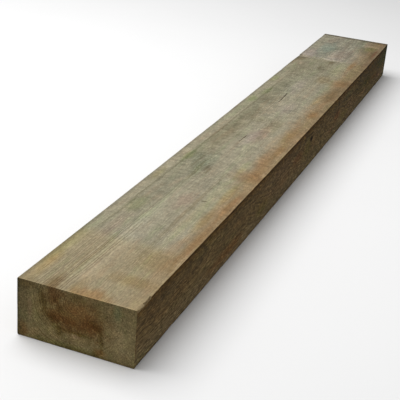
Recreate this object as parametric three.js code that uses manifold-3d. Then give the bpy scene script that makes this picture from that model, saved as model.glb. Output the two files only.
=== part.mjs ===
// A softwood railway sleeper of the garden kind: one length of sawn and pressure-treated timber.
// Millimetres. X runs along the grain from the near end (-X) to the far end (+X), Y runs across the
// width and Z is up. The origin is on the floor, under the middle of the sleeper.

import * as THREE from 'three';
import { mergeVertices } from 'three/addons/utils/BufferGeometryUtils.js';
import Module from 'manifold-3d';

// ---- sawn size ----
const length = 1800;
const width = 200;
const thickness = 100;

// ---- the long edges, eased by the planer ----
const arrisRadius = 1.5;
const arrisFacets = 3;

// ---- spring: the sideways bow that the timber took as it dried ----
const spring = 3; // the middle lies this much further towards -Y than the ends
const springFacets = 25; // odd, so that the middle facet of each side is square to Y

// ---- the step in the top, where the saw dipped towards the +Y side and was set right again ----
const stepAlong = 1510; // from the near end to the step itself
const dipLength = 110; // before the step, from level with the top to the full depth
const dipWidth = 150; // from the +Y side to where the dip runs out level with the top
const dipDepth = 3; // at the foot of the step, at the +Y side

// ---- splinters torn out of the top -Y edge, one behind the other from the near end ----
const firstTearLength = 26;
const secondTearLength = 22;
const tearDepth = 1.3; // into the side, where each splinter broke off
const tearHeight = 3.5; // down the side
const tearLean = 24; // degrees that the torn face leans in towards the top

// ---- the bottom -Y corner of the far end, knocked off ----
const knock = 9; // along each of its three edges

// ---- drying checks: short splits in the top, widest and deepest at mid-length ----
const checkGape = 1.8;
const checkDepth = 9;
const shortCheckLength = 56;
const shortCheckAlong = 762; // its middle, from the near end
const shortCheckAcross = 90; // its middle, from the +Y side
const shortCheckSlew = -3; // degrees off the grain, seen from above
const longCheckLength = 92;
const longCheckAlong = 1090;
const longCheckAcross = 79;
const longCheckSlew = 2;

// ---- heart checks: splits of the same form in the near end, round the heart of the tree ----
const heartCheckGape = 0.8;
const heartCheckDepth = 5;
const leftHeartCheckLength = 14;
const leftHeartCheckAcross = 76; // its middle, from the +Y side
const leftHeartCheckDown = 71; // its middle, from the top
const leftHeartCheckLean = 5; // degrees off upright, its foot towards -Y
const rightHeartCheckLength = 20;
const rightHeartCheckAcross = 146;
const rightHeartCheckDown = 69;
const rightHeartCheckLean = 11;

const checkFacets = 12; // round the mouth of a check

const nearEnd = -length / 2;
const farEnd = length / 2;
const leftSide = width / 2; // the +Y side, where the timber isn't bowed
const rightSide = -width / 2;

// A cutter reaches this far past each face that it opens through.
const overshoot = thickness / 100;

const { degToRad } = THREE.MathUtils;
const wasm = await Module();
wasm.setup();

// How far the spring has moved the section towards +Y at a place along the length. Both sides then
// reach equally far from the middle of the part, one at its ends and the other at mid-length.
function springAt(x) {
  const share = (2 * x) / length;
  return spring * (share * share - 0.5);
}

function solid(geometry) {
  geometry.deleteAttribute('normal');
  geometry.deleteAttribute('uv');
  const merged = mergeVertices(geometry);
  return new wasm.Manifold(
    new wasm.Mesh({
      numProp: 3,
      vertProperties: new Float32Array(merged.attributes.position.array),
      triVerts: new Uint32Array(merged.index.array),
    }),
  );
}

// A bar that runs from `start` towards +X, with its outline drawn across (+Y) and up (+Z).
function barAlongX(outline, start, barLength, steps, curveSegments) {
  const bar = new THREE.ExtrudeGeometry(outline, {
    depth: barLength,
    steps,
    curveSegments,
    bevelEnabled: false,
  });
  bar.rotateX(Math.PI / 2).rotateZ(Math.PI / 2);
  return bar.translate(start, 0, 0);
}

// The timber as sawn: a rectangle with eased corners, run along the grain and bowed by the spring.
function timber() {
  const quarter = Math.PI / 2;
  const left = leftSide - arrisRadius;
  const right = rightSide + arrisRadius;
  const top = thickness - arrisRadius;
  const section = new THREE.Shape();
  section.absarc(left, arrisRadius, arrisRadius, -quarter, 0);
  section.absarc(left, top, arrisRadius, 0, quarter);
  section.absarc(right, top, arrisRadius, quarter, 2 * quarter);
  section.absarc(right, arrisRadius, arrisRadius, 2 * quarter, 3 * quarter);

  const bar = barAlongX(section, nearEnd, length, springFacets, arrisFacets);
  const places = bar.attributes.position;
  for (let i = 0; i < places.count; i += 1) {
    places.setY(i, places.getY(i) + springAt(places.getX(i)));
  }
  return solid(bar);
}

// What the saw took where it dipped: a block that ends at the step, with a slanting underside.
function sawDip() {
  const step = nearEnd + stepAlong;
  const side = leftSide + springAt(step);
  const block = new THREE.BoxGeometry(2 * dipLength, 3 * dipWidth, 2 * (dipDepth + overshoot));
  const upwards = new THREE.Vector3(dipDepth / dipLength, dipDepth / dipWidth, 1).normalize();
  const foot = new THREE.Vector3(step, side, thickness - dipDepth);
  return solid(block.translate(step - dipLength, side, thickness)).trimByPlane(
    upwards.toArray(),
    upwards.dot(foot),
  );
}

// A sliver off the top -Y edge: it starts as nothing and is tearDepth deep where it broke off.
function tear(from, tearLength) {
  const lean = degToRad(tearLean);
  const outside = overshoot + tearHeight * Math.tan(lean); // it still clears the side at the top
  const plan = new THREE.Shape();
  plan.moveTo(-overshoot, -outside);
  plan.lineTo(tearLength, -outside);
  plan.lineTo(tearLength, tearDepth);
  plan.lineTo(-overshoot, (-overshoot * tearDepth) / tearLength);
  const sliver = new THREE.ExtrudeGeometry(plan, {
    depth: (tearHeight + overshoot) / Math.cos(lean),
    bevelEnabled: false,
  });
  const start = nearEnd + from;
  sliver.rotateX(-lean);
  return solid(sliver.translate(start, rightSide + springAt(start), thickness - tearHeight));
}

// A block whose one face is the plane that takes the corner off.
function knockedCorner() {
  const inwards = new THREE.Vector3(-1, 1, 1).normalize();
  const side = 4 * knock;
  const block = new THREE.BoxGeometry(side, side, side);
  const upwards = new THREE.Vector3(0, 0, 1);
  block.applyQuaternion(new THREE.Quaternion().setFromUnitVectors(upwards, inwards));
  const centre = new THREE.Vector3(farEnd, rightSide + springAt(farEnd), 0);
  centre.addScaledVector(inwards, knock / Math.sqrt(3) - side / 2);
  return solid(block.translate(...centre));
}

// A split that opens at the origin through a face looking up, with its length along X: an upside-
// down cone, drawn out along the grain and thin across it.
function split(splitLength, gape, depth) {
  const flare = 1 + overshoot / depth; // the cone's mouth is above the face that it opens through
  const cone = new THREE.ConeGeometry(flare / 2, depth + overshoot, checkFacets);
  cone.rotateX(-Math.PI / 2); // the point goes down
  cone.translate(0, 0, (overshoot - depth) / 2);
  return cone.scale(splitLength, gape, 1);
}

function dryingCheck(checkLength, along, across, slew) {
  const check = split(checkLength, checkGape, checkDepth).rotateZ(degToRad(slew));
  const x = nearEnd + along;
  return solid(check.translate(x, leftSide + springAt(x) - across, thickness));
}

function heartCheck(checkLength, across, down, lean) {
  const check = split(checkLength, heartCheckGape, heartCheckDepth);
  check.rotateY(-Math.PI / 2).rotateX(-degToRad(lean)); // the point goes into the near end
  return solid(check.translate(nearEnd, leftSide + springAt(nearEnd) - across, thickness - down));
}

const cuts = [
  sawDip(),
  tear(0, firstTearLength),
  tear(firstTearLength, secondTearLength),
  knockedCorner(),
  dryingCheck(shortCheckLength, shortCheckAlong, shortCheckAcross, shortCheckSlew),
  dryingCheck(longCheckLength, longCheckAlong, longCheckAcross, longCheckSlew),
  heartCheck(leftHeartCheckLength, leftHeartCheckAcross, leftHeartCheckDown, leftHeartCheckLean),
  heartCheck(rightHeartCheckLength, rightHeartCheckAcross, rightHeartCheckDown, rightHeartCheckLean),
];
const { vertProperties, triVerts } = cuts.reduce((left, cut) => left.subtract(cut), timber()).getMesh();

const shape = new THREE.BufferGeometry();
shape.setAttribute('position', new THREE.BufferAttribute(vertProperties, 3));
shape.setIndex(new THREE.BufferAttribute(triVerts, 1));
shape.computeVertexNormals();

const treatedTimber = new THREE.MeshStandardMaterial({
  name: 'treated_timber',
  color: 0x8d8163,
  roughness: 0.88,
  metalness: 0,
  flatShading: true,
});

const sleeper = new THREE.Mesh(shape, treatedTimber);
sleeper.name = 'sleeper';

const model = new THREE.Group();
model.add(sleeper);
export default model;
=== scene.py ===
# A softwood railway sleeper of the garden kind: one length of sawn and pressure-treated timber.
#
# The timber's growth is worked out once, from its rings, its heart and its knots. The relief of the
# surface and its colours both follow it, so that each ridge lies on the ring that is seen there.
#
# Lengths are millimetres, apart from what is handed to Blender, which is in metres. Places on the
# timber are measured along from the near end, across from the +Y side and down from the top.

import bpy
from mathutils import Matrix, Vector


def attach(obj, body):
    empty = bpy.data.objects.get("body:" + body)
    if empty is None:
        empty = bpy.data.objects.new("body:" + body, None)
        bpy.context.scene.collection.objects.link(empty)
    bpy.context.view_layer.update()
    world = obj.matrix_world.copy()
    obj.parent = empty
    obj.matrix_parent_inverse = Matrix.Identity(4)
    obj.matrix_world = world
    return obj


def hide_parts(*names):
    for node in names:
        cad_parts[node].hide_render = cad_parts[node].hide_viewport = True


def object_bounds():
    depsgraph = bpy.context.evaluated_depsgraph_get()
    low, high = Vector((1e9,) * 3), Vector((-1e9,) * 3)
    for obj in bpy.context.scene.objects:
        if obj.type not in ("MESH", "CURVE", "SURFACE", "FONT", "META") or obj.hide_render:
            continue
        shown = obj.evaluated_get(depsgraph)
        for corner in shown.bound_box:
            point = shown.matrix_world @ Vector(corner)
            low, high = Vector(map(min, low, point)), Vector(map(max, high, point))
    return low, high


bl_info = {
    "name": "Softwood Sleeper",
    "version": (1, 0, 0),
    "blender": (4, 5, 0),
    "location": "View3D > Sidebar > Sleeper",
    "description": "Dresses a sawn softwood sleeper with its grain, knots and weathering",
    "category": "Object",
}

import math
from functools import partial
from typing import NamedTuple

import bpy
from bpy.props import FloatProperty, FloatVectorProperty, PointerProperty
from mathutils import Quaternion, Vector

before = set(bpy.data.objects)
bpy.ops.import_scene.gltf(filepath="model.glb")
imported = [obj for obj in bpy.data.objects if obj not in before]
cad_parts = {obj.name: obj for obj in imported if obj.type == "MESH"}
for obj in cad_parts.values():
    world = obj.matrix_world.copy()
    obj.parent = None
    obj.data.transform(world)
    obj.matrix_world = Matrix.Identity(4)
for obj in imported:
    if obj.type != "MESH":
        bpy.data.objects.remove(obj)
CAD_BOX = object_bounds()

MM = 0.001  # metres


def whole_size(axis):
    """The sawn solid's size along an axis, to the whole millimetre."""
    low, high = CAD_BOX
    return float(round((high[axis] - low[axis]) / MM))


# ---- the timber ----
SPRING = 3.0  # the ends lie this much further towards +Y than mid-length
EASED = 1.5  # the long edges' radius
LENGTH = whole_size(0)
WIDTH = whole_size(1) - SPRING
THICKNESS = whole_size(2)
END = LENGTH / 2
SIDE = WIDTH / 2

# ---- the tree it was cut from ----
PITH_ACROSS = 97.0
PITH_DOWN = 22.0
PITH_WANDER = 7.0  # sideways
WANDER_DOWN = 0.6  # up and down, as a share of that
TAPER = 0.006  # how much the rings close in for each millimetre along
RING_PITCH = 5.0  # at the pith
RING_CLOSING = 0.0042  # how fast the rings grow narrower outwards
GOOD_YEARS = ((1.9, 0.2), (4.3, 0.06))  # how often good years come, and how far they move a ring
LATE_WOOD = (0.3, 0.88)  # over this part of a ring the late wood sets in
NEXT_SPRING = (1.0, 0.93)  # and over this part it ends
RIDGE = 0.85  # the part of a ring that stands highest
WOBBLE_BY = 2.2
RIPPLE_BY = 0.45
WOBBLE_FROM = 30  # nearer the pith than this, rings wobble less
PITH_RADIUS = 0.5
RAY_LENGTH = 220  # of the rays across the rings
DARK_RINGS = ((9, 0.7), (21, 0.6))  # ring number and added darkness
# where the rings dip over a branch that has grown over: along, across, down, and how deep
DIPS = (
    ((430, 200, 66), (230, 60, 58), 15.0),
    ((1480, 200, 70), (170, 50, 40), 10.0),
    ((700, 60, 0), (260, 60, 40), 6.0),
)
# this far from the pith the rings crowd too closely to stand as ridges
SIDES_CROWD = (32, 62)
TOP_CROWDS = (38, 66)

# ---- the cells that carry the relief ----
AXIS_X, AXIS_Y, AXIS_Z = range(3)
SAME_PLACE = 1e-6  # metres
SAME_PLANE = 0.0002  # radians
SHORT_EDGE = 0.2  # shorter edges are closed up after cutting
SQUARE_ON = 0.995  # faces this squarely up, sideways or endways are cut with their kind
KNOT_CELL = 4.0
KNOT_CELLS = 3  # each way from a knot's middle
SMALL_KNOT = 3.5  # one no wider has no cells of its own
SMOOTH_UP_TO = 32  # degrees

# ---- the camera and the light ----
CAMERA_PLACE = (-1.9727, -0.5655, 0.8072)  # metres
CAMERA_AIM = (-0.38868, 0.00524, 0.05116)
CAMERA_ROLL = 4.908  # degrees
KEY_PLACE = (-0.3, 1.3, 3.0)
KEY_AIM = (-0.1, 0.0, 0.05)
KEY_SIZE = 3.0
FLOOR_GAP = 0.4 * MM  # keeps the floor clear of the timber's underside
FLOOR_ROUGH = 0.9
FLOOR_SPECULAR = 0.1


class Grade(NamedTuple):
    """A grade of noise: its blotches' length, width and depth, and how far it breaks up."""

    size: tuple
    seed: float
    detail: float = 0.0
    rough: float = 0.55


NOISE_GAIN = 3.2  # brings noise mostly within 1 of nought
SEED_SHARES = (1.0, 0.7, 1.3)  # how far a seed moves the noise along each axis
PITH_DRIFT = Grade((520, 900, 900), 1.7)
RING_WOBBLE = Grade((160, 36, 36), 8.3, 1.0)
RING_RIPPLE = Grade((32, 8, 8), 5.9)
KNOT_OUTLINE = Grade((14, 7, 7), 3.1, 1.0)
RIDGE_PATCHES = Grade((90, 30, 30), 61.3, 1.0)
SWELL = Grade((260, 40, 40), 12.7, 1.0)
EDGE_WEAR = Grade((45, 16, 16), 21.3, 1.0)
BANDS = Grade((420, 20, 20), 37.1, 1.0)
STREAKS = Grade((85, 4.4, 4.4), 31.7, 2.0, 0.75)
BLOTCHES = Grade((80, 28, 28), 41.9, 2.0)
MOTTLE = Grade((44, 17, 17), 43.3, 4.0, 0.85)
FIBRES = Grade((18, 1.2, 1.2), 47.3, 1.0)
SPECKLE = Grade((6.5, 2.2, 2.2), 51.1, 1.0, 0.7)
HUES = Grade((120, 22, 22), 57.7, 3.0, 0.7)
SAW_MARKS = Grade((13, 36, 36), 63.1, 2.0, 0.75)
END_RAYS = Grade((0.05, 0.05, 1.0), 53.0, 1.0)
FLOOR_CLOUDS = Grade((0.5, 0.5, 0.5), 2.0, 2.0)  # metres


class Knot(NamedTuple):
    """A branch that runs out from the pith, given by where it meets the surface."""

    along: float  # from the near end
    across: float  # from the +Y side
    down: float  # from the top
    radius: float
    lean: float  # degrees that it rises towards the far end
    dark: float


# each row is a knot
KNOTS = (
    # in the top
    (558, 83, 0, 8.5, 28, 0.12),
    (898, 86, 0, 4.0, 30, 0.3),
    (408, 140, 0, 1.6, 20, 0.7),
    (1395, 94, 0, 8.0, 34, 0.25),
    (1480, 105, 0, 5.5, 24, 0.3),
    (1650, 50, 0, 9.0, 18, 0.05),
    # in the -Y side
    (935, 200, 33, 6.5, 26, 1.0),
    # in the +Y side
    (150, 0, 41, 5.0, 25, 0.6),
    (574, 0, 50, 11.0, 24, 0.8),
    (916, 0, 31, 7.5, 27, 0.6),
    (1442, 0, 61, 9.0, 22, 0.9),
    # in the bottom
    (162, 62, 100, 6.0, 24, 0.7),
    (548, 119, 100, 12.0, 25, 0.7),
    (925, 72, 100, 10.0, 23, 0.8),
    (1182, 96, 100, 3.0, 20, 0.9),
    (1432, 148, 100, 8.0, 26, 0.6),
)

# ---- tints of the marks, each multiplying the wood under it ----
COPPER = (0.72, 0.86, 0.88)
MOSS = (0.80, 0.90, 0.70)
LEAF = (1.0, 1.06, 0.82)
LICHEN = (1.14, 1.16, 1.04)
SLATE = (0.82, 0.85, 0.83)
OLIVE = (0.80, 0.78, 0.72)
UMBER = (0.62, 0.56, 0.48)
SEPIA = (0.86, 0.78, 0.66)
RUST = (0.95, 0.68, 0.46)
GOLD = (1.0, 0.88, 0.66)
ROSE = (1.07, 0.94, 0.96)
LILAC = (1.05, 1.0, 1.12)
PALE = (1.22, 1.21, 1.22)
SOOT = (0.45, 0.43, 0.42)
RED = (0.84, 0.62, 0.50)
DARK = (0.55, 0.42, 0.30)
BRONZE = (0.62, 0.58, 0.42)
PINE = (0.62, 0.86, 0.64)


class Mark(NamedTuple):
    """A stain or a strip of painted shade on one face. Along and across are measured as the face is looked
    at.
    """

    along: float  # from the near end, or on an end from the +Y side
    across: float  # from the +Y side, or on a side or an end from the top
    half_length: float
    half_width: float
    tint: tuple
    strength: float = 0.8


# each row is a mark
TOP_MARKS = (
    # the near end, which took up less of the treatment
    (0, 25, 14, 14, UMBER, 0.5), (8, 56, 34, 15, DARK, 0.75), (14, 92, 40, 10, SEPIA, 0.7),
    (2, 122, 26, 36, RUST, 0.75), (110, 63, 90, 4, SEPIA, 0.4), (90, 54, 90, 3, SEPIA, 0.4),
    (150, 75, 130, 34, (1.0, 1.01, 1.06)), (120, 0, 170, 9, OLIVE), (110, 91, 120, 7, PALE, 0.7),
    (230, 76, 170, 9, PALE, 0.7), (75, 160, 20, 42, SEPIA, 0.9), (150, 165, 38, 34, SEPIA),
    (120, 10, 70, 10, LEAF, 0.6), (60, 15, 50, 12, GOLD, 0.6), (65, 150, 34, 12, (1.18, 1.18, 1.12)),
    (62, 70, 40, 14, (1.16, 1.16, 1.18)), (14, 190, 22, 9, (1.20, 1.20, 1.16)),
    # between the warm end and the first large knot
    (275, 168, 60, 10, (1.12, 1.18, 1.24), 0.9), (430, 165, 60, 9, (1.10, 1.16, 1.20), 0.9),
    (240, 45, 60, 14, ROSE, 0.6), (335, 40, 40, 15, MOSS, 0.7), (300, 84, 120, 12, (1.10, 1.13, 1.13), 0.9),
    (390, 106, 45, 16, ROSE, 0.9), (330, 129, 220, 5, OLIVE), (380, 147, 190, 11, LICHEN),
    (440, 50, 130, 22, SLATE), (480, 12, 36, 9, GOLD, 0.5), (535, 10, 30, 12, PALE, 0.7),
    # round the first large knot
    (570, 74, 66, 32, SLATE), (545, 92, 20, 3, UMBER, 0.6), (562, 84, 18, 3, UMBER, 0.6),
    (574, 68, 28, 3, UMBER, 0.7), (592, 54, 32, 3, UMBER, 0.6), (520, 72, 40, 3, OLIVE, 0.9),
    (606, 60, 46, 28, COPPER, 0.5), (604, 28, 32, 9, MOSS, 0.9), (560, 166, 34, 32, RUST, 0.5),
    (610, 180, 60, 14, RUST, 0.4), (606, 148, 34, 11, LICHEN, 0.9),
    # the golden-brown edge
    (330, 170, 60, 9, GOLD), (450, 168, 60, 9, GOLD, 0.9), (240, 190, 90, 8, RUST, 0.5),
    (400, 188, 60, 8, RUST, 0.5), (665, 168, 44, 15, RUST, 0.45), (730, 182, 50, 10, RUST, 0.5),
    (770, 153, 60, 6, (1.15, 1.06, 1.0), 0.9), (835, 174, 60, 14, RUST, 0.45),
    (1110, 158, 44, 9, (1.12, 1.08, 0.92)), (1190, 180, 60, 14, UMBER, 0.35),
    (1292, 170, 34, 24, RUST, 0.5), (1484, 160, 50, 8, RUST, 0.6),
    (1650, 190, 44, 5, (0.85, 0.55, 0.50), 0.7),
    # mid-length
    (780, 50, 190, 22, OLIVE, 0.9), (1080, 42, 330, 20, (0.92, 0.92, 0.90)), (690, 84, 28, 6, PALE, 1.0),
    (770, 104, 60, 12, LILAC), (800, 118, 60, 15, ROSE), (870, 122, 50, 18, SEPIA, 0.5),
    (900, 88, 26, 22, OLIVE, 0.6), (1000, 130, 20, 20, SLATE, 0.4), (1040, 16, 26, 10, MOSS, 0.9),
    (1118, 28, 36, 9, MOSS, 0.7), (1238, 10, 26, 9, (1.12, 1.22, 0.98), 0.9), (1070, 55, 190, 20, SLATE),
    (1040, 89, 24, 5, PALE, 1.0), (1190, 80, 80, 16, LILAC, 0.9), (1015, 112, 45, 18, LILAC, 0.7),
    (1000, 180, 34, 14, RUST, 0.6), (1165, 174, 60, 18, SEPIA, 0.6), (1298, 128, 44, 20, SEPIA, 0.9),
    # round the last knots
    (1390, 40, 100, 42, OLIVE, 0.6), (1400, 130, 44, 14, OLIVE, 0.6), (1450, 4, 70, 8, OLIVE),
    (1430, 100, 72, 20, OLIVE, 0.7), (1412, 86, 24, 6, UMBER, 0.6), (1480, 102, 24, 8, UMBER, 0.7),
    (1425, 28, 22, 12, ROSE, 0.6), (1480, 14, 30, 14, UMBER, 0.5), (1415, 140, 84, 16, LICHEN),
    # the far end, beyond the overrun of the saw
    (1552, 20, 54, 22, LILAC, 1.0), (1545, 88, 50, 12, PALE, 0.9), (1615, 56, 90, 22, COPPER, 0.6),
    (1640, 48, 62, 22, (0.92, 1.06, 1.10), 0.7), (1580, 116, 90, 32, LILAC, 0.7),
    (1580, 120, 80, 28, SEPIA, 0.4), (1692, 86, 34, 22, PALE, 0.5), (1710, 85, 44, 60, (0.88, 0.88, 0.88)),
    (1672, 155, 46, 36, OLIVE), (1700, 165, 32, 20, MOSS, 0.9), (1735, 168, 16, 24, PALE, 0.9),
    (1700, 122, 110, 36, (0.93, 0.95, 0.93), 0.9), (1772, 184, 18, 10, (1.2, 1.1, 1.0)),
    (1330, 112, 110, 16, (0.90, 0.91, 0.90)), (1350, 10, 100, 10, (0.94, 0.94, 0.96)),
    (1630, 184, 60, 7, UMBER, 0.6), (1770, 150, 30, 40, UMBER, 0.4),
)

NEAR_MARKS = (
    # dark and reddish heart
    (98, 36, 58, 40, (0.90, 0.76, 0.62), 1.0), (64, 12, 17, 20, RED, 0.9), (63, 47, 16, 10, RED, 0.7),
    (100, 42, 34, 26, RED, 0.5), (90, 57, 16, 14, RED, 0.6), (124, 52, 24, 18, RED, 0.7),
    (129, 45, 15, 14, DARK, 0.35), (112, 29, 22, 12, (1.22, 1.12, 1.06), 0.9),
    (60, 34, 9, 8, (1.15, 1.14, 1.05), 0.7),
    # its dark rim
    (41, 16, 5, 16, BRONZE, 0.7), (47, 34, 6, 14, BRONZE), (56, 50, 9, 7, BRONZE, 0.7),
    (65, 60, 7, 8, BRONZE, 0.6), (74, 34, 8, 7, BRONZE, 0.6), (73, 70, 5, 14, BRONZE, 0.9),
    (92, 68, 16, 4, BRONZE), (112, 69, 20, 4, BRONZE, 1.0), (128, 43, 7, 6, BRONZE, 0.7),
    (136, 51, 6, 8, BRONZE), (142, 62, 5, 10, BRONZE), (145, 78, 4, 14, BRONZE, 0.7),
    # pale sapwood round it
    (36, 56, 18, 34, (1.12, 1.16, 1.08)), (22, 46, 4, 22, (1.18, 1.08, 1.25), 0.7),
    (60, 72, 14, 12, (1.18, 1.20, 1.12)), (104, 78, 26, 10, (1.14, 1.12, 1.10)),
    (101, 75, 8, 4, (1.12, 1.04, 1.25)), (141, 22, 8, 18, (1.10, 1.14, 1.06), 0.6),
    (176, 50, 20, 36, (1.18, 1.20, 1.26), 1.0), (176, 58, 9, 20, (1.18, 1.18, 1.20)),
    (168, 14, 7, 16, (0.82, 0.98, 1.02), 0.9),
    # stains at the corners and along the bottom, and painted shade: a dark strip down the +Y edge and a
    # dark line along the bottom edge
    (9, 88, 10, 16, (0.95, 0.70, 0.55)), (0, 60, 5, 60, (0.55, 0.62, 0.62), 1.0), (142, 90, 12, 7, RUST),
    (85, 97, 70, 8, MOSS, 0.9), (120, 99, 90, 4, UMBER, 0.6), (14, 6, 18, 8, SEPIA),
    (20, 66, 24, 16, (0.85, 0.87, 0.90)), (118, 34, 24, 12, (1.12, 1.22, 1.32)),
    (120, 92, 46, 8, (1.12, 1.14, 1.20)), (188, 78, 14, 10, (1.12, 1.14, 1.24)),
    (92, 42, 26, 8, (1.12, 1.20, 1.16), 0.7),
)

FAR_MARKS = (
    (103, 33, 50, 36, (0.88, 0.74, 0.62), 1.0), (76, 52, 20, 13, RED, 0.9), (128, 26, 18, 16, RED),
    (118, 60, 26, 5, DARK, 0.6), (56, 40, 6, 24, DARK, 0.6), (150, 40, 26, 34, (1.15, 1.18, 1.22)),
    (30, 60, 20, 30, (1.12, 1.16, 1.08), 0.7), (110, 97, 80, 8, MOSS),
)

RIGHT_MARKS = (
    (60, 34, 70, 20, UMBER, 0.4), (180, 40, 60, 18, UMBER, 0.35), (380, 78, 90, 14, RUST, 0.7),
    (585, 70, 38, 15, LEAF, 0.9), (700, 40, 120, 30, LILAC), (830, 48, 44, 14, (1.10, 0.84, 0.80)),
    (905, 42, 32, 30, MOSS), (958, 46, 14, 9, (1.35, 1.28, 1.25), 0.9),
    (1186, 50, 32, 13, (1.14, 0.84, 0.80)), (1274, 70, 50, 12, LEAF, 0.9),
    (1305, 26, 44, 9, (0.85, 1.05, 1.05), 0.7), (1315, 60, 50, 26, LILAC), (1450, 36, 110, 30, SLATE, 0.9),
    (1492, 68, 40, 14, PALE, 0.6), (1600, 50, 180, 50, OLIVE, 0.6), (1700, 66, 44, 16, LILAC),
    (1760, 24, 90, 34, PINE, 0.9), (1796, 50, 20, 70, (0.40, 0.62, 0.42), 0.95),
    (934, 33, 13, 7, (0.26, 0.17, 0.08), 1.0), (906, 6, 16, 6, UMBER), (1540, 52, 60, 14, MOSS),
    (1482, 64, 26, 3, SOOT, 0.7), (1500, 71, 30, 3, (1.5, 1.4, 1.4), 0.9), (1530, 78, 40, 4, SOOT, 0.6),
    (1640, 61, 34, 4, RUST, 0.9), (1690, 66, 14, 6, SOOT, 0.6), (1712, 74, 34, 5, (1.5, 1.35, 1.45)),
    (1125, 72, 28, 4, (1.35, 1.15, 1.2), 0.9), (1130, 80, 34, 4, SOOT, 0.4),
)


class Band(NamedTuple):
    """A tint over a stretch. Each ramp tells where it sets in, where it is full and how unevenly."""

    tint: tuple
    along: tuple = ()
    across: tuple = ()
    down: tuple = ()


TOP_BANDS = (
    # the -Y edge, more worn the further along
    Band((0.80, 0.80, 0.80), along=((500, 1500, 0),), across=((160, 198, 0),)),
    # duller towards the far end, with painted shade darkest at its edge
    Band((0.94, 0.95, 0.95), along=((700, 1400, 0),)),
    Band((0.52, 0.50, 0.48), along=((LENGTH - 26, LENGTH - 9, -6),)),
    # greyer beyond the saw's step, darker before it and paler just past it
    Band((0.97, 0.98, 1.04), along=((1496, 1516, 12),)),
    Band((0.86, 0.86, 0.82), along=((1440, 1490, 6), (1501, 1498, 0)), across=((150, 90, 0),)),
    Band((1.08, 1.07, 1.10), along=((1500, 1504, 0), (1560, 1515, 20)), across=((150, 110, 0),)),
    # the +Y edge, darkened as painted shade on its rounded arris
    Band((0.80, 0.80, 0.82), across=((9, 3, 0),)),
)
SIDE_BANDS = (
    # golden under the top, with a dark line that grows along the timber, and cooler below
    Band((1.0, 0.86, 0.62), down=((26, 2, 0),)),
    Band((0.64, 0.58, 0.48), along=((-600, 1700, 0),), down=((9, 5, 0),)),
    Band((1.04, 1.12, 1.30), down=((50, 92, 0),)),
)


def sum_method(operation, turned=False):
    """A method of Wire that adds a Math node, with the wire last where it is turned."""

    def method(wire, *others):
        values = (*others, wire) if turned else (wire, *others)
        return wire.bench.maths(operation, *values)

    return method


class Wire:
    """A value that leaves a node. Sums written on it add their Math nodes."""

    def __init__(self, bench, socket):
        self.bench = bench
        self.socket = socket

    __add__ = __radd__ = sum_method("ADD")
    __sub__ = sum_method("SUBTRACT")
    __rsub__ = sum_method("SUBTRACT", turned=True)
    __mul__ = __rmul__ = sum_method("MULTIPLY")
    __truediv__ = sum_method("DIVIDE")
    __abs__ = sum_method("ABSOLUTE")

    def maths(self, operation, *others):
        return self.bench.maths(operation, self, *others)

    def rise(self, start, finish):
        """0 up to start and 1 from finish on, with a soft step between them."""
        # the soft step clamps by itself, and a Clamp node for each would overfill the shader
        return self.bench.add(
            "ShaderNodeMapRange",
            {"interpolation_type": "SMOOTHSTEP", "clamp": False},
            {"Value": self, "From Min": start, "From Max": finish},
        )

    def clip(self):
        return self.bench.add("ShaderNodeClamp", None, {"Value": self})


class Bench:
    """A node tree, and the one way in which a node is put in it."""

    def __init__(self, tree):
        self.tree = tree

    def add(self, kind, settings=None, sockets=None, out=0):
        node = self.tree.nodes.new(kind)
        for name, setting in (settings or {}).items():
            setattr(node, name, setting)
        for key, given in (sockets or {}).items():
            if isinstance(given, Wire):
                self.tree.links.new(given.socket, node.inputs[key])
            else:
                node.inputs[key].default_value = given
        if isinstance(out, tuple):
            return [Wire(self, node.outputs[o]) for o in out]
        return Wire(self, node.outputs[out])

    def maths(self, operation, *values):
        return self.add("ShaderNodeMath", {"operation": operation}, dict(enumerate(values)))

    def vector(self, operation, *values, out=0, **sockets):
        given = dict(enumerate(values))
        given.update(sockets)
        return self.add("ShaderNodeVectorMath", {"operation": operation}, given, out)

    def join(self, x, y, z):
        return self.add("ShaderNodeCombineXYZ", None, {"X": x, "Y": y, "Z": z})

    def split(self, vector):
        return self.add("ShaderNodeSeparateXYZ", None, {0: vector}, (0, 1, 2))

    def noise(self, place, grade, out=0):
        """Noise of a grade, about nought. Its colour, output 1, gives three at once."""
        scaled = self.vector(
            "MULTIPLY_ADD",
            place,
            tuple(1 / size for size in grade.size),
            tuple(grade.seed * share for share in SEED_SHARES),
        )
        value = self.add(
            "ShaderNodeTexNoise",
            None,
            {"Vector": scaled, "Scale": 1.0, "Detail": grade.detail, "Roughness": grade.rough},
            out,
        )
        if out == 0:
            return (value - 0.5) * NOISE_GAIN
        return [(part - 0.5) * NOISE_GAIN for part in self.split(value)]

    def use_part(self, tree, sockets, gives):
        kind = self.tree.bl_idname.replace("NodeTree", "NodeGroup")
        return self.add(kind, {"node_tree": tree}, sockets, gives)

    def mix(self, share, under, over, blend="MIX"):
        """Two colours mixed by a share from 0 to 1."""
        return self.add(
            "ShaderNodeMix",
            {"data_type": "RGBA", "blend_type": blend},
            {0: share, 6: colour(under), 7: colour(over)},
            2,
        )


def make_group(kind, name, takes, gives, build):
    """A group of nodes. Build turns what it takes into what it gives."""
    tree = bpy.data.node_groups.new(name, kind)
    for way, sockets in (("INPUT", takes), ("OUTPUT", gives)):
        for title, value in sockets.items():
            tree.interface.new_socket(title, in_out=way, socket_type="NodeSocket" + value)
    bench = Bench(tree)
    given = bench.add("NodeGroupInput", None, None, tuple(takes))
    bench.add("NodeGroupOutput", None, dict(zip(gives, build(bench, *given))), ())
    return tree


def colour(given):
    """A colour with its fourth number, or a wire as it is."""
    return given if isinstance(given, Wire) else (*given, 1.0)


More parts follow.
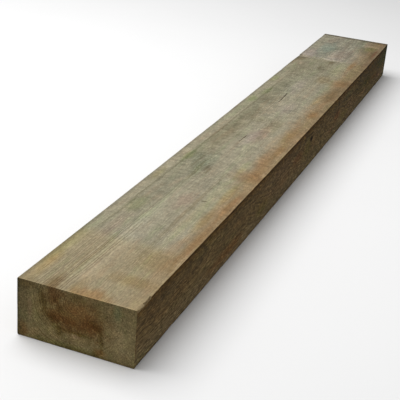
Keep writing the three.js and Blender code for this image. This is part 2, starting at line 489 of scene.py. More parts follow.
class Growth(NamedTuple):
    """The timber's growth at each place."""

    straight: Wire  # the place in millimetres with the spring taken out
    grain: Wire  # the same, moved so that fibres run round the knots
    along: Wire
    across: Wire
    down: Wire
    rings: Wire  # how many rings lie between here and the pith
    ring: Wire  # the number of this ring
    late: Wire  # 0 in the ring's soft early wood, 1 in its hard late wood
    ridge: Wire  # the same as one smooth wave
    spokes: Wire  # the direction from the pith, for what runs across the rings
    knot_edge: Wire  # how far outside the nearest knot, negative inside
    knot_dark: Wire


LEAST_GIRTH = 0.05  # a knot's radius at the pith
PARTING = (1.5, 0.7)  # how far fibres move aside for a knot, and how widely
LIFTING = (1.1, 2.5)  # how far rings rise along it, and how widely
RAGGED_BY = 0.8  # its outline
KNOT_RIM = (1.2, -1.0)  # from the wood outside it to the knot itself


def part_round_knot(
    bench, place, start, axis, with_grain, sideways, taper, dark, ragged,
    push, lift, nearest, darkness,
):
    """Adds one knot to those before it."""
    from_start = bench.vector("SUBTRACT", place, start)
    out = bench.vector("DOT_PRODUCT", from_start, axis, out=1)
    u = bench.vector("DOT_PRODUCT", from_start, with_grain, out=1)
    v = bench.vector("DOT_PRODUCT", from_start, sideways, out=1)
    girth = (out * taper).maths("MAXIMUM", LEAST_GIRTH)
    square = u * u + v * v
    girth_square = girth * girth
    aside = v * girth_square * PARTING[0] / (square + girth_square * PARTING[1])
    closeness = girth_square * LIFTING[1] / (square + girth_square * LIFTING[1])
    edge = square.maths("SQRT") + ragged - girth
    return (
        bench.vector("ADD", push, bench.vector("SCALE", sideways, Scale=aside)),
        closeness * closeness * girth * LIFTING[0] + lift,
        edge.maths("MINIMUM", nearest),
        edge.rise(*KNOT_RIM) * dark + darkness,
    )


def follow_knots(bench, straight):
    """Moves the grain round every knot, as water parts round a post, and lifts the rings along it."""
    ragged = bench.noise(straight, KNOT_OUTLINE) * RAGGED_BY
    running = {"Push": "Vector", "Lift": "Float", "Nearest": "Float", "Darkness": "Float"}
    takes = {
        "Place": "Vector", "Start": "Vector", "Axis": "Vector", "With Grain": "Vector",
        "Sideways": "Vector", "Taper": "Float", "Dark": "Float", "Ragged": "Float", **running,
    }
    part = make_group(bench.tree.bl_idname, "round_knot", takes, running, part_round_knot)
    so_far = [(0.0, 0.0, 0.0), 0.0, LENGTH, 0.0]
    for knot in map(Knot._make, KNOTS):
        meets = Vector((knot.along - END, SIDE - knot.across, THICKNESS - knot.down))
        out_y = meets.y - (SIDE - PITH_ACROSS)
        out_z = meets.z - (THICKNESS - PITH_DOWN)
        reach = math.hypot(out_y, out_z)
        out_y, out_z = out_y / reach, out_z / reach
        lean = math.radians(knot.lean)
        axis = Vector((math.sin(lean), math.cos(lean) * out_y, math.cos(lean) * out_z))
        sockets = {
            "Place": straight,
            "Start": tuple(meets - axis * reach / math.cos(lean)),
            "Axis": tuple(axis),
            "With Grain": (math.cos(lean), -math.sin(lean) * out_y, -math.sin(lean) * out_z),
            "Sideways": (0.0, -out_z, out_y),
            "Taper": knot.radius * math.cos(lean) / reach,
            "Dark": knot.dark,
            "Ragged": ragged,
            **dict(zip(running, so_far)),
        }
        so_far = bench.use_part(part, sockets, tuple(running))
    return so_far


def sink_over_branches(bench, reached, along, across, down):
    """Dips the rings over the branches that have grown over."""
    here = bench.join(along, across, down)
    for middle, size, deep in DIPS:
        near_dip = bench.vector(
            "MULTIPLY_ADD",
            here,
            tuple(1 / s for s in size),
            tuple(-m / s for m, s in zip(middle, size)),
        )
        reached = reached + bench.vector("LENGTH", near_dip, out=1).rise(1.0, 0.0) * deep
    return reached


def follow_growth(bench, place):
    """Lays out the rings, pith and knots for a place in metres."""
    metres = bench.vector("SCALE", place, Scale=1 / MM)
    x, y, z = bench.split(metres)
    share = x / END
    y = y - SPRING * (share * share - 0.5)
    along, across, down = x + END, SIDE - y, THICKNESS - z
    straight = bench.join(x, y, z)
    push, lift, knot_edge, knot_dark = follow_knots(bench, straight)
    grain = bench.vector("SUBTRACT", straight, push)

    wander = bench.noise(straight, PITH_DRIFT, 1)
    _, grain_y, grain_z = bench.split(grain)
    from_y = grain_y - (SIDE - PITH_ACROSS) - wander[0] * PITH_WANDER
    from_z = grain_z - (THICKNESS - PITH_DOWN) - wander[1] * (PITH_WANDER * WANDER_DOWN)
    radius = (from_y * from_y + from_z * from_z).maths("SQRT")
    wobble = bench.noise(grain, RING_WOBBLE) * WOBBLE_BY
    wobble = wobble + bench.noise(grain, RING_RIPPLE) * RIPPLE_BY
    wobble = wobble * (radius / WOBBLE_FROM).maths("MINIMUM", 1.0)
    reached = radius + wobble + along * TAPER - lift
    reached = sink_over_branches(bench, reached, along, across, down)
    counted = reached * (reached * RING_CLOSING + 1) / RING_PITCH
    rings = counted
    for often, moved in GOOD_YEARS:
        rings = rings + (counted * often).maths("SINE") * moved
    ring = rings.maths("FLOOR")
    part = rings - ring
    late = part.rise(*LATE_WOOD) * part.rise(*NEXT_SPRING)
    ridge = ((part - RIDGE) * math.tau).maths("COSINE") * 0.5 + 0.5
    clear = radius + PITH_RADIUS
    spokes = bench.join(from_y / clear, from_z / clear, radius / RAY_LENGTH)
    return Growth(
        straight, grain, along, across, down, rings, ring, late * late, ridge, spokes,
        knot_edge, knot_dark,
    )


class Face(NamedTuple):
    """How far each place belongs to a face, from 0 to 1."""

    top: Wire
    under: Wire
    near: Wire
    far: Wire
    ends: Wire
    long: Wire  # every face but the ends
    sides: Wire
    up: Wire  # how far up the surface looks, from -1 to 1
    near_lines: Wire  # the part of the top where fine lines of growth show

    def amount(self, plain, **more):
        """So much of something, and so much more of it on the faces named."""
        return sum((getattr(self, name) * extra for name, extra in more.items()), plain)


# from a normal that isn't yet that way to one that is
LOOKS_UP = (0.5, 0.85)
LOOKS_ENDWAYS = (0.5, 0.8)
STEP_FROM = (10, 20)  # further along than this, what looks back is the saw's step
FAR_PART = (LENGTH - 20, LENGTH - 10)
TORN_PART = (80, 70)
TORN_LOOK = ((0.1, 0.3), (0.7, 0.5))  # how far up a torn face looks


def find_faces(bench, facing, growth):
    """Tells the faces apart by the way they look and where they lie."""
    x, _, z = bench.split(facing)
    back = x.rise(-LOOKS_ENDWAYS[0], -LOOKS_ENDWAYS[1])
    far = x.rise(*LOOKS_ENDWAYS) * growth.along.rise(*FAR_PART)
    step = back * growth.along.rise(*STEP_FROM)  # it goes with the top
    torn = growth.along.rise(*TORN_PART) * z.rise(*TORN_LOOK[0]) * z.rise(*TORN_LOOK[1])
    top = z.rise(*LOOKS_UP) + step + torn * 0.7
    under = z.rise(-LOOKS_UP[0], -LOOKS_UP[1])
    near = back - step
    ends = near + far
    long_faces = 1 - ends
    sides = (long_faces - top - under).clip()
    lines = growth.across.rise(110, 70) * growth.across.rise(16, 40)
    near_lines = growth.along.rise(420, 120) * lines
    return Face(top, under, near, far, ends, long_faces, sides, z, near_lines)


def edge_distance(growth):
    """How far a place is from the nearest long edge, measured over both faces."""
    from_side = growth.across.maths("MINIMUM", WIDTH - growth.across)
    from_face = growth.down.maths("MINIMUM", THICKNESS - growth.down)
    return from_side + from_face


RIDGES_PATCHY = (-0.7, 0.6)
RIDGES_PAST_KNOT = (-1.0, 2.0)  # from inside a knot to the wood round it
WORN_PATCHES = (0.1, 0.9)
WORN_WITHIN = (6.0, 1.5)  # of a long edge
GROOVE_WITHIN = (1.6, 0.2)  # of a knot's outline


def sink_relief(sizes, bench, mesh):
    """Sinks the surface between its ridges, and never lifts it."""
    place = bench.add("GeometryNodeInputPosition")
    normal = bench.add("GeometryNodeInputNormal")
    growth = follow_growth(bench, place)
    face = find_faces(bench, normal, growth)
    crowded = face.sides * abs(growth.down - PITH_DOWN).rise(*SIDES_CROWD)
    level = face.top + face.under
    crowded = crowded + level * abs(growth.across - PITH_ACROSS).rise(*TOP_CROWDS)
    patchy = bench.noise(growth.straight, RIDGE_PATCHES).rise(*RIDGES_PATCHY)
    valley = (1 - growth.ridge) * patchy * growth.knot_edge.rise(*RIDGES_PAST_KNOT)
    depth = valley * sizes.ridge_depth * face.long * (1 - crowded)
    swell = bench.noise(growth.straight, SWELL)
    depth = depth + (swell * 0.5 + 0.5).clip() * sizes.swell_depth
    worn = bench.noise(growth.straight, EDGE_WEAR).rise(*WORN_PATCHES)
    depth = depth + edge_distance(growth).rise(*WORN_WITHIN) * worn * sizes.wear_depth
    groove = abs(growth.knot_edge).rise(*GROOVE_WITHIN) * growth.knot_dark.clip()
    depth = depth + groove * sizes.groove_depth
    inward = bench.vector("SCALE", normal, Scale=depth * -MM)
    return (bench.add("GeometryNodeSetPosition", None, {"Geometry": mesh, "Offset": inward}),)


class Texture(NamedTuple):
    """Unevenness of the surface, each part about nought."""

    bands: Wire  # long and broad
    streaks: Wire  # long and narrow
    blotches: Wire
    mottle: Wire  # from coarse to fine
    fibres: Wire
    speckle: Wire
    hue: Wire
    saw: Wire  # bowed marks across the grain


SAW_BOW = 0.0012  # how much the saw's marks bend, for each millimetre squared from the middle


def follow_texture(bench, growth):
    """Lays out the unevenness of the timber's colour and surface."""
    from_middle = growth.across - SIDE
    bow = from_middle * from_middle * SAW_BOW
    bowed = bench.join(growth.along + bow, growth.across, growth.down)
    with_grain = [bench.noise(growth.grain, grade) for grade in (BANDS, STREAKS)]
    grades = (BLOTCHES, MOTTLE, FIBRES, SPECKLE, HUES)
    anywhere = [bench.noise(growth.straight, grade) for grade in grades]
    return Texture(*with_grain, *anywhere, bench.noise(bowed, SAW_MARKS))


class Coat:
    """The timber's colour as it is built up, with what its layers follow."""

    def __init__(self, bench, colours):
        place = bench.add("ShaderNodeTexCoord", None, None, "Object")
        normal = bench.add("ShaderNodeTexCoord", None, None, "Normal")
        self.bench = bench
        self.colours = colours
        self.growth = follow_growth(bench, place)
        self.texture = follow_texture(bench, self.growth)
        self.face = find_faces(bench, normal, self.growth)
        self.wood = None
        # bands and stains end as unevenly as the treatment was taken up
        self.ragged = self.texture.mottle * 0.45 + self.texture.blotches * 0.25
        self.along = self.growth.along + self.ragged * 2
        self.across = self.growth.across + self.ragged * 1.2
        self.down = self.growth.down + self.ragged * 1.2

    def tint(self, share, tint):
        """Multiplies the wood by a tint, as far as the share tells."""
        self.wood = self.bench.mix(share, self.wood, tint, "MULTIPLY")

    def lighten(self, by):
        """Makes the wood lighter or darker by a factor."""
        self.wood = self.bench.vector("SCALE", self.wood, Scale=by)

    def lighten_face(self, face, by):
        self.lighten((by - 1) * face + 1)

    def lay(self, bands, face):
        """Lays bands of tint over one face."""
        for band in bands:
            share = face
            for place, ramps in (
                (self.along, band.along), (self.across, band.across), (self.down, band.down)
            ):
                for start, finish, uneven in ramps:
                    reached = place + self.ragged * uneven if uneven else place
                    share = share * reached.rise(start, finish)
            self.tint(share, band.tint)


def lay_rings(coat):
    """The faces' wood, each ring as dark as its year made it and broken by the rough cut; the sides and
    ends darker, partly as painted shade.
    """
    bench, growth, texture, colours = coat.bench, coat.growth, coat.texture, coat.colours
    pale = bench.mix(coat.face.top, colours.side_pale[:], colours.top_pale[:])
    pale = bench.mix(coat.face.ends, pale, colours.end_pale[:])
    dark = bench.mix(coat.face.top, colours.side_dark[:], colours.top_dark[:])
    dark = bench.mix(coat.face.ends, dark, colours.end_dark[:])
    year = bench.add("ShaderNodeTexWhiteNoise", {"noise_dimensions": "1D"}, {"W": growth.ring})
    strength = year * 0.55 + 0.2
    for number, more in DARK_RINGS:
        strength = strength + growth.ring.maths("COMPARE", float(number), 0.5) * more
    broken = texture.mottle * 0.6 + texture.fibres * 0.45
    shown = coat.face.amount(0.95, top=-0.5, ends=-0.45, near_lines=0.8)
    strength = strength * (broken + texture.bands * 0.3 + shown)
    coat.wood = bench.mix((growth.late * strength).clip(), pale, dark)


SAW_FADES = (120, 420)  # the saw's marks grow from the smooth near end on
FINE_LINES = 1.7  # for each ring
BAND_GREEN = (0.93, 1.0, 0.93)
HUE_WARM = (1.05, 0.96, 0.93)
HUE_GREEN = (0.94, 1.02, 0.93)


def lay_streaks(coat):
    """Streaks along the grain, and the mottling of a rough cut, each by its share of the tone."""
    growth, texture, face = coat.growth, coat.texture, coat.face
    sawn = growth.along.rise(*SAW_FADES) * 0.6 + 0.4
    tone = texture.mottle * face.amount(0.22, sides=-0.09)
    tone = tone + texture.fibres * face.amount(0.17, sides=0.24)
    tone = tone + texture.speckle * face.amount(0.24, sides=0.04)
    tone = tone + texture.saw * face.amount(0.04, top=sawn * 0.20)
    tone = tone + texture.streaks * face.amount(0.05, near_lines=0.07, sides=0.07, ends=-0.04)
    tone = tone * face.amount(
        growth.along * 0.0003 + 1, sides=growth.along * 0.0005 + 1.1, ends=1.15
    )
    patches = (texture.blotches * 0.9 + 0.75).clip()
    fine = (growth.rings * (FINE_LINES * math.tau)).maths("COSINE") * patches
    tone = tone + texture.bands * 0.05 + fine * face.near_lines * 0.14
    coat.lighten(tone.maths("EXPONENT"))
    coat.tint(texture.bands.rise(0.1, 0.8) * 0.5, BAND_GREEN)
    coat.tint(texture.hue.rise(0.0, 0.8), HUE_WARM)
    coat.tint(texture.hue.rise(0.0, -0.8), HUE_GREEN)


WARM_END = (222, 176)  # along
BROWN_EDGE = (152, 196)  # across
BROWN_WIDENS = 0.012  # for each millimetre along
LINE_ACROSS = 23  # the dark line along the +Y edge, at the near end
LINE_SLANTS = 0.006
LINE_TINT = (0.68, 0.68, 0.63)
SAPWOOD_TINT = (1.08, 1.08, 1.03)
BESIDE_TINT = (0.90, 0.91, 0.88)
STEP_PART = (1480, 1490)  # beyond this, what doesn't look up is the saw's step


def lay_top(coat):
    """What the treatment and the sawing left along the top."""
    top, along, across, ragged = coat.face.top, coat.along, coat.across, coat.ragged

    # the near end, which took up less of the treatment, and the -Y edge, browner the further along
    warm = (along + ragged * 24).rise(*WARM_END) * top
    coat.tint(warm, coat.colours.warm_tint[:])
    browned = (across + ragged * 30 + along * BROWN_WIDENS).rise(*BROWN_EDGE) * top
    coat.tint(browned * (1 - warm * 0.6), coat.colours.brown_tint[:])
    coat.lay(TOP_BANDS, top)

    # the +Y edge: a paler strip of sapwood inside a dark line
    from_line = across + ragged * 4 - LINE_ACROSS - along * LINE_SLANTS
    line = abs(from_line).rise(4.0, 0.5) * along.rise(190, 260) * along.rise(1350, 1150)
    coat.tint(from_line.rise(2, -5) * top * 0.4, SAPWOOD_TINT)
    coat.tint(line * top * 0.8, LINE_TINT)
    beside = from_line.rise(-1, 3) * from_line.rise(38, 12)
    beside = beside * along.rise(420, 520) * along.rise(1400, 1200) * top
    coat.tint(beside * 0.8, BESIDE_TINT)

    # the saw's step: its riser lightened, partly as a fresher cut and partly as painted light against the
    # shade that falls on it
    riser_painted_light = (1 - coat.face.up.clip()) * along.rise(*STEP_PART) * top
    coat.lighten(1 + riser_painted_light * 0.9)


SIDE_PAINTED_SHADE_ALONG = 0.00018  # painted shade on the sides, with each millimetre along
END_PAINTED_SHADE_EDGE = (-60, 40)  # painted shade on the ends towards the +Y edge, across


def paint_light_and_shade_on_sides_and_ends(coat):
    """Paints light and shade into the sides and ends: darker just under the top and lighter lower down, the
    sides darker towards the far end and the ends darker towards the +Y edge.
    """
    by = (coat.down * 0.0066 + 0.695) * (1 - coat.along * SIDE_PAINTED_SHADE_ALONG)
    coat.lighten_face(coat.face.sides, by)
    by = (coat.down * 0.0032 + 0.82) * coat.across.rise(*END_PAINTED_SHADE_EDGE)
    coat.lighten_face(coat.face.ends, by)


STAIN_EDGE = (1.45, 0.25)  # from where a stain starts to where it is full, as parts of its size
SIDE_MARKS_FROM = (150, 160)  # across, so that the +Y side has none


def part_stain(bench, tint, spot, stretch, middle, ragged, face, strength, own_tint):
    """Adds one soft and ragged oval to the tint so far."""
    away = bench.vector("LENGTH", bench.vector("MULTIPLY_ADD", spot, stretch, middle), out=1)
    shown = (away + ragged).rise(*STAIN_EDGE) * face * strength
    return (bench.mix(shown, tint, own_tint, "MULTIPLY"),)


def lay_marks(coat):
    """The stains and strips of painted shade, each over those before it."""
    bench, face = coat.bench, coat.face
    takes = {
        "Tint": "Color", "Spot": "Vector", "Stretch": "Vector", "Middle": "Vector",
        "Ragged": "Float", "Face": "Float", "Strength": "Float", "Own Tint": "Color",
    }
    stain = make_group(bench.tree.bl_idname, "stain", takes, {"Tint": "Color"}, part_stain)
    stains = (1.0, 1.0, 1.0)
    right_side = face.sides * coat.across.rise(*SIDE_MARKS_FROM)
    for own_face, marks, u, v in (
        (face.top, TOP_MARKS, coat.along, coat.across),
        (face.near, NEAR_MARKS, coat.across, coat.down),
        (face.far, FAR_MARKS, coat.across, coat.down),
        (right_side, RIGHT_MARKS, coat.along, coat.down),
    ):
        spot = bench.join(u, v, coat.ragged)
        for mark in [Mark(*row) for row in marks]:
            half = (mark.half_length, mark.half_width)
            sockets = {
                "Tint": colour(stains),
                "Spot": spot,
                "Stretch": (1 / half[0], 1 / half[1], 0.0),
                "Middle": (-mark.along / half[0], -mark.across / half[1], 0.0),
                "Ragged": coat.ragged,
                "Face": own_face,
                "Strength": mark.strength,
                "Own Tint": colour(mark.tint),
            }
            stains, = bench.use_part(stain, sockets, ("Tint",))
    coat.tint(1.0, stains)


KNOT_RINGS = 5.0  # how closely a knot's own rings lie
RIM_WITHIN = (1.3, 0.1)  # of a knot's outline


def lay_knots(coat):
    """Knots, with their own close rings and a dark rim."""
    growth, tint = coat.growth, coat.colours.knot_tint[:]
    inside = growth.knot_dark.clip()
    wave = (growth.knot_edge * KNOT_RINGS).maths("SINE")
    own_rings = wave * 0.25 + 0.75
    coat.tint(inside, tint)
    coat.tint(inside * own_rings * 0.5, tint)
    coat.tint(abs(growth.knot_edge).rise(*RIM_WITHIN) * inside, SOOT)


TOP_EDGE_HIGHLIGHT_WITHIN = (5.0, 1.5)  # painted highlight, within this of the top's -Y and near edges
PAINTED_HIGHLIGHT_TINT = (1.16, 1.14, 1.10)
SHADED_EDGE_WITHIN = (7.0, 0.5)  # painted shade, within this of a long edge
SAWN_RIM = (3.0, 0.3)  # of an end


def lay_edges(coat):
    """A painted highlight along the top's -Y and near edges, painted shade along the long edges elsewhere,
    the sides' bands, and the sides darkened at the sawn ends.
    """
    face, along = coat.face, coat.along
    inside_edge = (WIDTH - coat.across).maths("MINIMUM", along)
    # a painted highlight along the top's -Y and near edges
    coat.tint(inside_edge.rise(*TOP_EDGE_HIGHLIGHT_WITHIN) * face.top * 0.8, PAINTED_HIGHLIGHT_TINT)
    # painted shade along the long edges, on every face but the top
    edge = edge_distance(coat.growth) + coat.ragged
    coat.tint(edge.rise(*SHADED_EDGE_WITHIN) * (1 - face.top), coat.colours.edge_shade_and_rim_tint[:])
    coat.lay(SIDE_BANDS, face.sides)
    from_end = along.maths("MINIMUM", LENGTH - along)
    coat.tint(from_end.rise(*SAWN_RIM) * face.sides, coat.colours.edge_shade_and_rim_tint[:])


TRACK_LEAN = (0.62, 0.78)  # the way the saw crossed an end: across and down
TRACK_PITCH = 5.2
TRACK_PATCHES = (-0.3, 0.6)


def lay_end_grain(coat):
    """Fine rays across the rings of the ends, and slanting tracks of the saw, which are returned."""
    texture = coat.texture
    rays = coat.bench.noise(coat.growth.spokes, END_RAYS)
    slant = coat.across * TRACK_LEAN[0] - coat.down * TRACK_LEAN[1] + texture.blotches * 5
    tracks = (slant * (math.tau / TRACK_PITCH)).maths("SINE") * texture.hue.rise(*TRACK_PATCHES)
    coat.lighten(1 + (rays * 0.10 + tracks * 0.13) * coat.face.ends)
    return tracks


WOOD_ROUGH = 0.88
WOOD_SPECULAR = 0.04


def surface(coat, tracks):
    """The shader: the coat's colour, with the roughness of the cut and its bump in millimetres."""
    bench, texture, face = coat.bench, coat.texture, coat.face
    height = texture.fibres * face.amount(0.10, sides=0.08) + texture.speckle * 0.16
    height = height + texture.mottle * face.amount(0.35, sides=0.05)
    height = height + texture.saw * 0.25 * face.long + tracks * 0.08 * face.ends
    bump = bench.add("ShaderNodeBump", None, {"Distance": MM, "Height": height})
    roughness = WOOD_ROUGH - coat.growth.late * 0.08
    roughness = roughness + texture.fibres * 0.05 + texture.mottle * 0.04
    return bench.add(
        "ShaderNodeBsdfPrincipled",
        None,
        {
            "Base Color": coat.wood,
            "Roughness": roughness.clip(),
            "Normal": bump,
            "Specular IOR Level": WOOD_SPECULAR,
        },
    )


def new_material(name):
    """An empty material, and the bench of its node tree."""
    material = bpy.data.materials.new(name)
    material.use_nodes = True
    material.node_tree.nodes.clear()
    return material, Bench(material.node_tree)


def timber_finish(colours):
    """The wood's material: rings, streaks, stains, knots, painted light and shade, and the bump of its
    fibres.
    """
    material, bench = new_material("treated_timber")
    coat = Coat(bench, colours)
    lay_rings(coat)
    lay_streaks(coat)
    lay_top(coat)
    paint_light_and_shade_on_sides_and_ends(coat)
    lay_marks(coat)
    lay_knots(coat)
    lay_edges(coat)
    tracks = lay_end_grain(coat)
    bench.add("ShaderNodeOutputMaterial", None, {"Surface": surface(coat, tracks)}, ())
    return material


def deselect_all():
    if bpy.context.object is not None and bpy.context.object.mode != "OBJECT":
        bpy.ops.object.mode_set(mode="OBJECT")
    bpy.ops.object.select_all(action="DESELECT")


def even_places(low, high, cell):
    """Places from low to high, evenly spaced at about a cell."""
    count = round((high - low) / cell)
    return [round(low + (high - low) * step / count, 4) for step in range(count + 1)]


def cut_across(axis, places):
    """Cuts the mesh being edited in flat planes square to one axis."""
    for place in places:
        point = [0.0, 0.0, 0.0]
        square = [0.0, 0.0, 0.0]
        point[axis] = place * MM
        square[axis] = 1.0
        bpy.ops.mesh.select_all(action="SELECT")
        bpy.ops.mesh.bisect(plane_co=point, plane_no=square, threshold=SAME_PLACE)


def show_only(timber, *axes):
    """Hides every face that isn't square to one of the axes, so that no cut crosses it."""
    bpy.ops.mesh.reveal()
    bpy.ops.mesh.select_all(action="DESELECT")
    bpy.ops.object.mode_set(mode="OBJECT")
    for face in timber.data.polygons:
        face.select = not any(abs(face.normal[axis]) > SQUARE_ON for axis in axes)
    bpy.ops.object.mode_set(mode="EDIT")
    bpy.ops.mesh.hide()


def cut_into_cells(timber, sizes):
    """Cuts the faces into the fine cells that carry the relief."""
    bpy.ops.object.mode_set(mode="EDIT")
    bpy.ops.mesh.select_mode(type="FACE")
    bpy.ops.mesh.select_all(action="SELECT")
    bpy.ops.mesh.remove_doubles(threshold=SAME_PLACE)
    bpy.ops.mesh.select_all(action="SELECT")
    bpy.ops.mesh.dissolve_limited(angle_limit=SAME_PLANE)
    near_knots = {
        round(knot.along / KNOT_CELL + step) * KNOT_CELL - END
        for knot in map(Knot._make, KNOTS)
        for step in range(-KNOT_CELLS, KNOT_CELLS + 1)
        if knot.radius > SMALL_KNOT
    }
    between_ends = even_places(-END, END, sizes.cell_along / MM)[1:-1]
    cut_across(AXIS_X, sorted(near_knots.union(between_ends)))
    # the eased edges are cut along the grain alone, and the other cuts begin level with them
    show_only(timber, AXIS_X, AXIS_Z)
    flat = SIDE - EASED
    across = even_places(SPRING / 2 - flat, SPRING / 2 + flat, sizes.cell_across / MM)
    cut_across(AXIS_Y, [2 * across[0] - across[1], *across])
    show_only(timber, AXIS_X, AXIS_Y)
    cut_across(AXIS_Z, even_places(EASED, THICKNESS - EASED, sizes.cell_down / MM))
    bpy.ops.mesh.reveal()
    bpy.ops.mesh.select_all(action="SELECT")
    bpy.ops.mesh.dissolve_degenerate(threshold=SHORT_EDGE * MM)
    bpy.ops.object.mode_set(mode="OBJECT")


def make_timber(sizes, colours):
    """Copies the sawn solid, cuts its faces into fine cells and sinks the relief into them."""
    deselect_all()
    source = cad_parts["sleeper"]
    timber = bpy.data.objects.new("timber", source.data.copy())
    bpy.context.collection.objects.link(timber)
    bpy.context.view_layer.objects.active = timber
    timber.select_set(True)
    cut_into_cells(timber, sizes)

    timber.data.materials.clear()
    timber.data.materials.append(timber_finish(colours))
    modifier = timber.modifiers.new("relief", "NODES")
    solid = {"Geometry": "Geometry"}
    modifier.node_group = make_group(
        "GeometryNodeTree", "timber_relief", solid, solid, partial(sink_relief, sizes)
    )
    bpy.ops.object.modifier_apply(modifier="relief")
    bpy.ops.object.shade_smooth_by_angle(angle=math.radians(SMOOTH_UP_TO))
    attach(timber, "root")
    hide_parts("sleeper")


def paper_finish(studio):
    """The floor's pale paper, very slightly cloudy."""
    paper, bench = new_material("floor_paper")
    place = bench.add("ShaderNodeTexCoord", None, None, "Object")
    cloudy = bench.noise(place, FLOOR_CLOUDS)
    tone = bench.vector("SCALE", studio.floor_colour[:], Scale=1 + cloudy * 0.01)
    shader = bench.add(
        "ShaderNodeBsdfPrincipled",
        None,
        {"Base Color": tone, "Roughness": FLOOR_ROUGH, "Specular IOR Level": FLOOR_SPECULAR},
    )
    bench.add("ShaderNodeOutputMaterial", None, {"Surface": shader}, ())
    return paper


def aimed(place, aim):
    """The turn that points a lamp or a camera from a place at an aim."""
    return (Vector(aim) - Vector(place)).to_track_quat("-Z", "Y")


def make_camera(lens):
    camera_data = bpy.data.cameras.new("camera")
    camera = bpy.data.objects.new("camera", camera_data)
    bpy.context.collection.objects.link(camera)
    camera_data.lens = lens
    camera_data.sensor_fit = "HORIZONTAL"
    roll = Quaternion((0.0, 0.0, 1.0), math.radians(CAMERA_ROLL))
    camera.location = CAMERA_PLACE
    camera.rotation_euler = (aimed(CAMERA_PLACE, CAMERA_AIM) @ roll).to_euler()
    bpy.context.scene.camera = camera


def make_stage(studio):
    """A pale floor, a soft light above and behind, a weak fill and the camera."""
    deselect_all()
    bpy.ops.mesh.primitive_plane_add(size=studio.floor_size, location=(0, 0, -FLOOR_GAP))
    floor = bpy.context.object
    floor.name = "floor"
    bpy.ops.object.transform_apply()
    floor.data.materials.append(paper_finish(studio))

    bpy.ops.object.light_add(type="AREA", location=KEY_PLACE)
    lamp = bpy.context.object
    lamp.name = "key"
    lamp.data.size = KEY_SIZE
    lamp.data.energy = studio.key_power
    lamp.rotation_euler = aimed(KEY_PLACE, KEY_AIM).to_euler()

    world = bpy.data.worlds.new("studio")
    world.use_nodes = True
    world.node_tree.nodes.clear()
    bench = Bench(world.node_tree)
    sky = bench.add(
        "ShaderNodeBackground", None, {"Color": (1.0, 1.0, 1.0, 1.0), "Strength": studio.fill}
    )
    bench.add("ShaderNodeOutputWorld", None, {"Surface": sky}, ())
    bpy.context.scene.world = world
    bpy.context.scene.view_settings.view_transform = "Standard"

    make_camera(studio.lens)


def number(name, description, default, least=0.0, **unit):
    return FloatProperty(name=name, description=description, default=default, min=least, **unit)


def hue(name, description, default):
    return FloatVectorProperty(
        name=name, description=description, subtype="COLOR", size=3, min=0.0, max=2.0, default=default
    )


class SleeperSizes(bpy.types.PropertyGroup):
    """Sizes of the timber's relief and of the cells that carry it."""

    cell_along: number("Cell length", "Length of a cell along the grain", 24 * MM, 0.004, unit="LENGTH")
    cell_across: number("Cell width", "Width of a cell across the top", 1.6 * MM, MM, unit="LENGTH")
    cell_down: number("Cell height", "Height of a cell down the sides", 2.0 * MM, MM, unit="LENGTH")
    ridge_depth: number("Ridge depth", "How far early wood lies below late wood, in millimetres", 0.22)
    swell_depth: number("Swell depth", "Unevenness of the sawn faces, in millimetres", 0.35)
    wear_depth: number("Edge wear", "How deep the long edges are worn, in millimetres", 0.9)
    groove_depth: number("Knot groove", "Depth of the groove round a dark knot, in millimetres", 0.35)


class SleeperColours(bpy.types.PropertyGroup):
    """Colours of the timber."""

    top_pale: hue("Top, early wood", "Soft wood of the top", (0.268, 0.242, 0.171))
    top_dark: hue("Top, late wood", "Hard wood of the top", (0.138, 0.114, 0.070))
    # the sides and ends are darker than the top partly in their own wood and partly as painted shade, for
    # the light that falls less on them
    side_pale: hue("Side, early wood", "Soft wood of the sides", (0.126, 0.084, 0.036))
    side_dark: hue("Side, late wood", "Hard wood of the sides", (0.040, 0.026, 0.011))
    end_pale: hue("End, early wood", "Soft wood of the ends", (0.165, 0.127, 0.059))
    end_dark: hue("End, late wood", "Hard wood of the ends", (0.085, 0.057, 0.024))
    warm_tint: hue("Warm end", "Tint of the near end of the top", (1.04, 0.96, 0.85))
    brown_tint: hue("Brown edge", "Tint of the top along the -Y edge", (0.91, 0.74, 0.59))
    knot_tint: hue("Knots", "Tint of a knot on the wood round it", (0.50, 0.47, 0.43))
    # painted shade along the long edges, and the sides' darker rims at the sawn ends
    edge_shade_and_rim_tint: hue("Edges", "Tint of the worn long edges", (0.74, 0.66, 0.52))


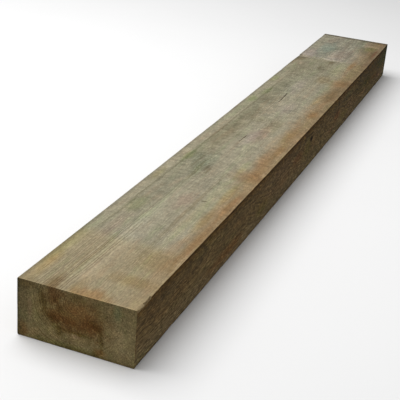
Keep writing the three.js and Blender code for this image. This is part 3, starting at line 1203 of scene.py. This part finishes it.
class SleeperStudio(bpy.types.PropertyGroup):
    """The floor, the lights and the lens."""

    floor_size: number("Floor size", "Length of the floor's side", 30.0, 4.0, unit="LENGTH")
    floor_colour: hue("Floor", "Colour of the floor", (0.80, 0.80, 0.80))
    key_power: number("Key light", "Power of the large soft light", 122.0, unit="POWER")
    fill: number("Fill", "Strength of the light from all round", 0.42)
    lens: number("Lens", "Focal length of the camera", 84.84, 10.0, unit="CAMERA")


class SLEEPER_OT_timber(bpy.types.Operator):
    """Make the dressed timber from the sawn solid"""

    bl_idname = "sleeper.timber"
    bl_label = "Make Timber"

    def execute(self, context):
        make_timber(context.scene.sleeper_sizes, context.scene.sleeper_colours)
        return {"FINISHED"}


class SLEEPER_OT_stage(bpy.types.Operator):
    """Set up the floor, the lights and the camera"""

    bl_idname = "sleeper.stage"
    bl_label = "Set Stage"

    def execute(self, context):
        make_stage(context.scene.sleeper_studio)
        return {"FINISHED"}


class SLEEPER_PT_panel(bpy.types.Panel):
    """Lists the sleeper's operators and settings"""

    bl_idname = "SLEEPER_PT_panel"
    bl_label = "Sleeper"
    bl_space_type = "VIEW_3D"
    bl_region_type = "UI"
    bl_category = "Sleeper"

    def draw(self, context):
        layout = self.layout
        for operator in (SLEEPER_OT_timber, SLEEPER_OT_stage):
            layout.operator(operator.bl_idname)
        for setting in SETTINGS:
            group = getattr(context.scene, setting)
            box = layout.box()
            for name in group.__annotations__:
                box.prop(group, name)


SETTINGS = {
    "sleeper_sizes": SleeperSizes,
    "sleeper_colours": SleeperColours,
    "sleeper_studio": SleeperStudio,
}
CLASSES = (*SETTINGS.values(), SLEEPER_OT_timber, SLEEPER_OT_stage, SLEEPER_PT_panel)


def register():
    for cls in CLASSES:
        bpy.utils.register_class(cls)
    for name, cls in SETTINGS.items():
        setattr(bpy.types.Scene, name, PointerProperty(type=cls))


def unregister():
    for name in SETTINGS:
        delattr(bpy.types.Scene, name)
    for cls in reversed(CLASSES):
        bpy.utils.unregister_class(cls)


def main():
    register()
    bpy.ops.sleeper.stage()
    bpy.ops.sleeper.timber()


if __name__ == "__main__":
    main()
